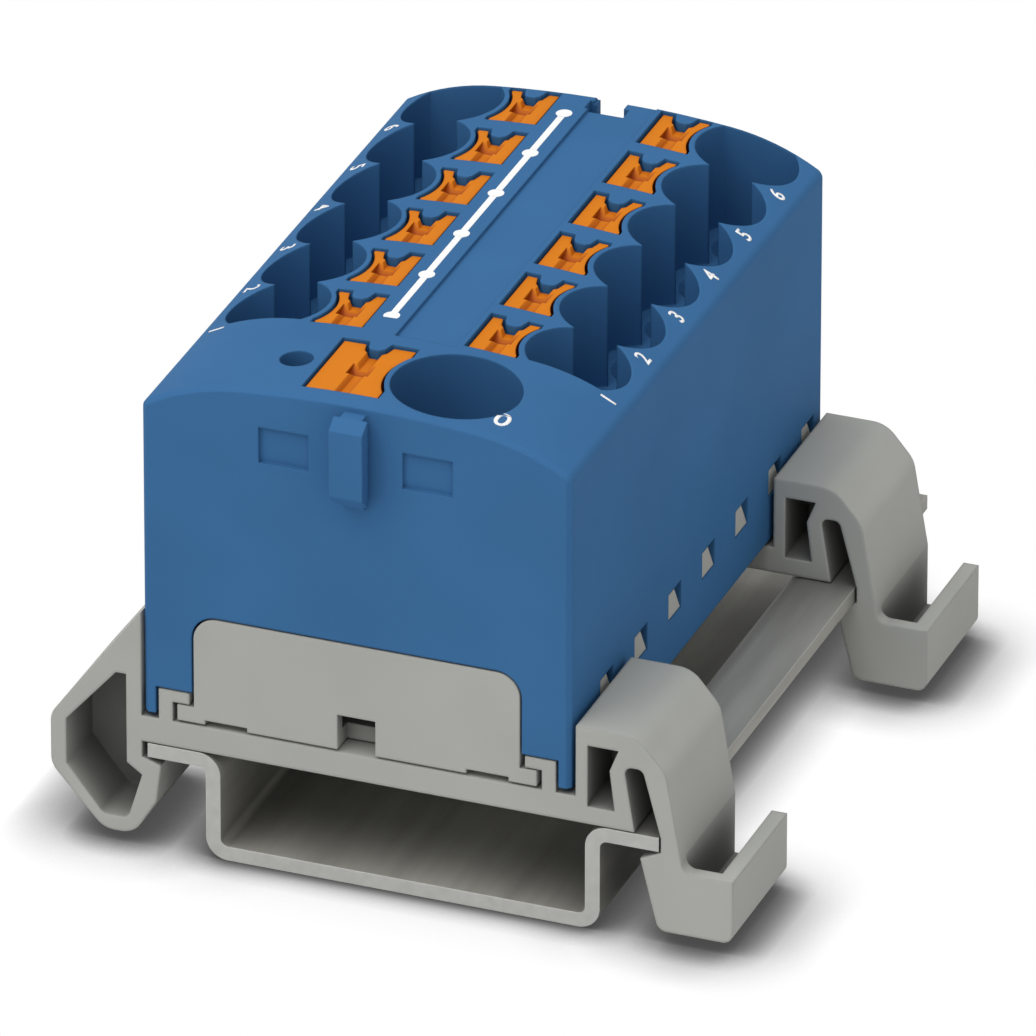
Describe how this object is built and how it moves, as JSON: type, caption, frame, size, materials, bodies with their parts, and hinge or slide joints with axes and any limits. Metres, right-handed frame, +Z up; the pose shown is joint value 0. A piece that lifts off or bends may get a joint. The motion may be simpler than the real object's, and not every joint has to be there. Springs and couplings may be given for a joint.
{
  "type": "power distribution block",
  "caption": "Push-in power distribution block with one large and two rows of small wire entries, orange release buttons and two feet clipped on a short top-hat rail.",
  "frame": {"origin": "on the rail's underside and its centre line, under the middle of the housing", "axes": "+Y along the rail from the feed end to the other end, +X across the rail towards the latch side, +Z up through the top face"},
  "size_m": [0.0467, 0.0518, 0.0347],
  "materials": {
    "housing_plastic": "satin moulded",
    "cover_plastic": "matt moulded",
    "foot_plastic": "matt moulded",
    "button_plastic": "satin moulded",
    "rail_steel": "zinc plated",
    "busbar_copper": "tinned edges, bare copper",
    "spring_steel": "bright"
  },
  "bodies": {
    "block": {"housing": "housing_plastic", "base_cover": "cover_plastic", "busbar": "busbar_copper", "foot_front": "foot_plastic", "foot_rear": "foot_plastic", "mounting_rail": "rail_steel", "spring_left_1": "spring_steel", "spring_right_1": "spring_steel", "spring_left_2": "spring_steel", "spring_right_2": "spring_steel", "spring_left_3": "spring_steel", "spring_right_3": "spring_steel", "spring_left_4": "spring_steel", "spring_right_4": "spring_steel", "spring_left_5": "spring_steel", "spring_right_5": "spring_steel", "spring_left_6": "spring_steel", "spring_right_6": "spring_steel", "spring_feed": "spring_steel"},
    "push_left_1": {"button_left_1": "button_plastic"},
    "push_right_1": {"button_right_1": "button_plastic"},
    "push_left_2": {"button_left_2": "button_plastic"},
    "push_right_2": {"button_right_2": "button_plastic"},
    "push_left_3": {"button_left_3": "button_plastic"},
    "push_right_3": {"button_right_3": "button_plastic"},
    "push_left_4": {"button_left_4": "button_plastic"},
    "push_right_4": {"button_right_4": "button_plastic"},
    "push_left_5": {"button_left_5": "button_plastic"},
    "push_right_5": {"button_right_5": "button_plastic"},
    "push_left_6": {"button_left_6": "button_plastic"},
    "push_right_6": {"button_right_6": "button_plastic"},
    "push_feed": {"button_feed": "button_plastic"}
  },
  "joints": [
    {"name": "push_left_1", "type": "slide", "parent": "block", "child": "push_left_1", "axis": [0, 0, -1], "range_m": [0, 0.0012], "stiffness_N_per_m": 1500, "deforming": ["spring_left_1"]},
    {"name": "push_right_1", "type": "slide", "parent": "block", "child": "push_right_1", "axis": [0, 0, -1], "range_m": [0, 0.0012], "stiffness_N_per_m": 1500, "deforming": ["spring_right_1"]},
    {"name": "push_left_2", "type": "slide", "parent": "block", "child": "push_left_2", "axis": [0, 0, -1], "range_m": [0, 0.0012], "stiffness_N_per_m": 1500, "deforming": ["spring_left_2"]},
    {"name": "push_right_2", "type": "slide", "parent": "block", "child": "push_right_2", "axis": [0, 0, -1], "range_m": [0, 0.0012], "stiffness_N_per_m": 1500, "deforming": ["spring_right_2"]},
    {"name": "push_left_3", "type": "slide", "parent": "block", "child": "push_left_3", "axis": [0, 0, -1], "range_m": [0, 0.0012], "stiffness_N_per_m": 1500, "deforming": ["spring_left_3"]},
    {"name": "push_right_3", "type": "slide", "parent": "block", "child": "push_right_3", "axis": [0, 0, -1], "range_m": [0, 0.0012], "stiffness_N_per_m": 1500, "deforming": ["spring_right_3"]},
    {"name": "push_left_4", "type": "slide", "parent": "block", "child": "push_left_4", "axis": [0, 0, -1], "range_m": [0, 0.0012], "stiffness_N_per_m": 1500, "deforming": ["spring_left_4"]},
    {"name": "push_right_4", "type": "slide", "parent": "block", "child": "push_right_4", "axis": [0, 0, -1], "range_m": [0, 0.0012], "stiffness_N_per_m": 1500, "deforming": ["spring_right_4"]},
    {"name": "push_left_5", "type": "slide", "parent": "block", "child": "push_left_5", "axis": [0, 0, -1], "range_m": [0, 0.0012], "stiffness_N_per_m": 1500, "deforming": ["spring_left_5"]},
    {"name": "push_right_5", "type": "slide", "parent": "block", "child": "push_right_5", "axis": [0, 0, -1], "range_m": [0, 0.0012], "stiffness_N_per_m": 1500, "deforming": ["spring_right_5"]},
    {"name": "push_left_6", "type": "slide", "parent": "block", "child": "push_left_6", "axis": [0, 0, -1], "range_m": [0, 0.0012], "stiffness_N_per_m": 1500, "deforming": ["spring_left_6"]},
    {"name": "push_right_6", "type": "slide", "parent": "block", "child": "push_right_6", "axis": [0, 0, -1], "range_m": [0, 0.0012], "stiffness_N_per_m": 1500, "deforming": ["spring_right_6"]},
    {"name": "push_feed", "type": "slide", "parent": "block", "child": "push_feed", "axis": [0, 0, -1], "range_m": [0, 0.0012], "stiffness_N_per_m": 2500, "deforming": ["spring_feed"]}
  ]
}
